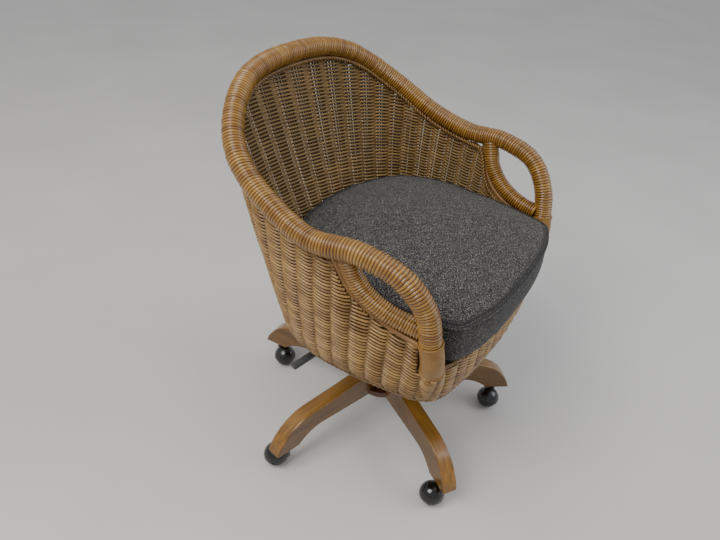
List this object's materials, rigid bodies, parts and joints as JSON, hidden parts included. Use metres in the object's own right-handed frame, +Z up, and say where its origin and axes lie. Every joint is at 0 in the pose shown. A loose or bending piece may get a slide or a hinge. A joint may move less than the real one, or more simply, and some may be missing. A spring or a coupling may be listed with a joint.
{
  "type": "office chair",
  "caption": "Barrel-shaped woven cane office chair with wrapped pole arms and a boxed tweed cushion, on a wooden swivel base with casters, a gas lift and a tilt mechanism.",
  "frame": {"origin": "on the floor, under the swivel axis", "axes": "+Z up; the sitter faces -Y; +X towards the sitter's left arm"},
  "size_m": [0.665, 0.6204, 0.8254],
  "materials": {
    "leg_wood": "clear satin lacquer over honey brown wood",
    "hub_wood": "stained reddish brown wood",
    "steel": "bright plated steel",
    "black_metal": "black powder coat",
    "dark_plastic": "moulded, fine texture",
    "grip_plastic": "satin dark grey",
    "caster_plastic": "glossy black",
    "wheel_plastic": "black, worn tread",
    "cane_wrap": "glossy lacquered cane strip",
    "edging_cane": "satin flat cane",
    "sheath_cane": "satin cane",
    "weave": "lacquered round core",
    "braid": "lacquered twisted core",
    "border_cane": "lacquered core",
    "core_pole": "bare pole",
    "plywood": "bare plywood",
    "batten_wood": "bare softwood",
    "tweed": "flecked charcoal tweed"
  },
  "bodies": {
    "base": {"hub_core": "leg_wood", "hub_disc": "hub_wood", "leg_bolts": "steel", "caster_sockets": "steel", "column_tube": "black_metal", "column_bushing": "dark_plastic", "thrust_bearing": "steel", "leg_1": "leg_wood", "leg_2": "leg_wood", "leg_3": "leg_wood", "leg_4": "leg_wood", "leg_5": "leg_wood"},
    "spindle": {"piston_rod": "steel"},
    "carriage": {"gas_cylinder": "black_metal", "mechanism_housing": "black_metal", "tilt_pin": "steel", "lever_pin": "steel", "tilt_spring": "steel"},
    "seat": {"tilt_plate": "black_metal", "tension_bolt": "steel", "spring_cap": "steel", "plate_screws": "steel", "seat_battens": "batten_wood", "seat_board": "plywood", "seat_ring": "core_pole", "top_rail": "cane_wrap", "loop_pole_right": "cane_wrap", "loop_pole_left": "cane_wrap", "edging_right": "edging_cane", "edging_left": "edging_cane", "post_sheaths": "sheath_cane", "woven_wall": "weave", "front_apron": "weave", "rim_braid": "braid", "bottom_border": "border_cane", "cushion": "tweed"},
    "knob": {"tension_knob": "dark_plastic"},
    "lever": {"lever_rod": "black_metal", "lever_grip": "grip_plastic"},
    "button": {"valve_button": "dark_plastic"},
    "caster_1": {"caster_stem_1": "steel", "caster_hood_1": "caster_plastic"},
    "wheelset_1": {"caster_axle_1": "steel", "caster_wheels_1": "wheel_plastic"},
    "caster_2": {"caster_stem_2": "steel", "caster_hood_2": "caster_plastic"},
    "wheelset_2": {"caster_axle_2": "steel", "caster_wheels_2": "wheel_plastic"},
    "caster_3": {"caster_stem_3": "steel", "caster_hood_3": "caster_plastic"},
    "wheelset_3": {"caster_axle_3": "steel", "caster_wheels_3": "wheel_plastic"},
    "caster_4": {"caster_stem_4": "steel", "caster_hood_4": "caster_plastic"},
    "wheelset_4": {"caster_axle_4": "steel", "caster_wheels_4": "wheel_plastic"},
    "caster_5": {"caster_stem_5": "steel", "caster_hood_5": "caster_plastic"},
    "wheelset_5": {"caster_axle_5": "steel", "caster_wheels_5": "wheel_plastic"}
  },
  "joints": [
    {"name": "seat_swivel", "type": "hinge", "parent": "base", "child": "spindle", "pos_m": [0, 0, 0.2], "axis": [0, 0, 1], "continuous": true},
    {"name": "seat_height", "type": "slide", "parent": "spindle", "child": "carriage", "axis": [0, 0, 1], "range_m": [-0.045, 0.05]},
    {"name": "seat_tilt", "type": "hinge", "parent": "carriage", "child": "seat", "pos_m": [0, -0.045, 0.332], "axis": [-1, 0, 0], "range_deg": [0, 10], "stiffness_Nm_per_rad": 250, "springref_deg": -8.02, "deforming": ["tilt_spring"]},
    {"name": "tension_turn", "type": "hinge", "parent": "seat", "child": "knob", "pos_m": [0, -0.082, 0.243], "axis": [0, 0, 1], "range_deg": [-720, 720]},
    {"name": "lever_lift", "type": "hinge", "parent": "carriage", "child": "lever", "pos_m": [-0.034, 0, 0.335], "axis": [0, 1, 0], "range_deg": [0, 3], "stiffness_Nm_per_rad": 4, "springref_deg": -5.73},
    {"name": "button_press", "type": "slide", "parent": "carriage", "child": "button", "axis": [0, 0, -1], "range_m": [0, 0.0021]},
    {"name": "caster_swivel_1", "type": "hinge", "parent": "base", "child": "caster_1", "pos_m": [-0.02186, 0.29419, 0.06], "axis": [0, 0, 1], "continuous": true},
    {"name": "wheel_roll_1", "type": "hinge", "parent": "caster_1", "child": "wheelset_1", "pos_m": [-0.03116, 0.27425, 0.024], "axis": [0.9063, -0.4226, 0], "continuous": true},
    {"name": "caster_swivel_2", "type": "hinge", "parent": "base", "child": "caster_2", "pos_m": [-0.28655, 0.07012, 0.06], "axis": [0, 0, 1], "continuous": true},
    {"name": "wheel_roll_2", "type": "hinge", "parent": "caster_2", "child": "wheelset_2", "pos_m": [-0.29584, 0.09006, 0.024], "axis": [-0.9063, -0.4226, 0], "continuous": true},
    {"name": "caster_swivel_3", "type": "hinge", "parent": "base", "child": "caster_3", "pos_m": [-0.15523, -0.25085, 0.06], "axis": [0, 0, 1], "continuous": true},
    {"name": "wheel_roll_3", "type": "hinge", "parent": "caster_3", "child": "wheelset_3", "pos_m": [-0.17603, -0.24369, 0.024], "axis": [-0.3256, -0.9455, 0], "continuous": true},
    {"name": "caster_swivel_4", "type": "hinge", "parent": "base", "child": "caster_4", "pos_m": [0.19061, -0.22515, 0.06], "axis": [0, 0, 1], "continuous": true},
    {"name": "wheel_roll_4", "type": "hinge", "parent": "caster_4", "child": "wheelset_4", "pos_m": [0.16888, -0.22859, 0.024], "axis": [0.1564, -0.9877, 0], "continuous": true},
    {"name": "caster_swivel_5", "type": "hinge", "parent": "base", "child": "caster_5", "pos_m": [0.27303, 0.1117, 0.06], "axis": [0, 0, 1], "continuous": true},
    {"name": "wheel_roll_5", "type": "hinge", "parent": "caster_5", "child": "wheelset_5", "pos_m": [0.28403, 0.13075, 0.024], "axis": [-0.866, 0.5, 0], "continuous": true}
  ],
  "couplings": [
    {"joint": "button_press", "follows": "lever_lift", "m_per_rad": 0.0401}
  ]
}
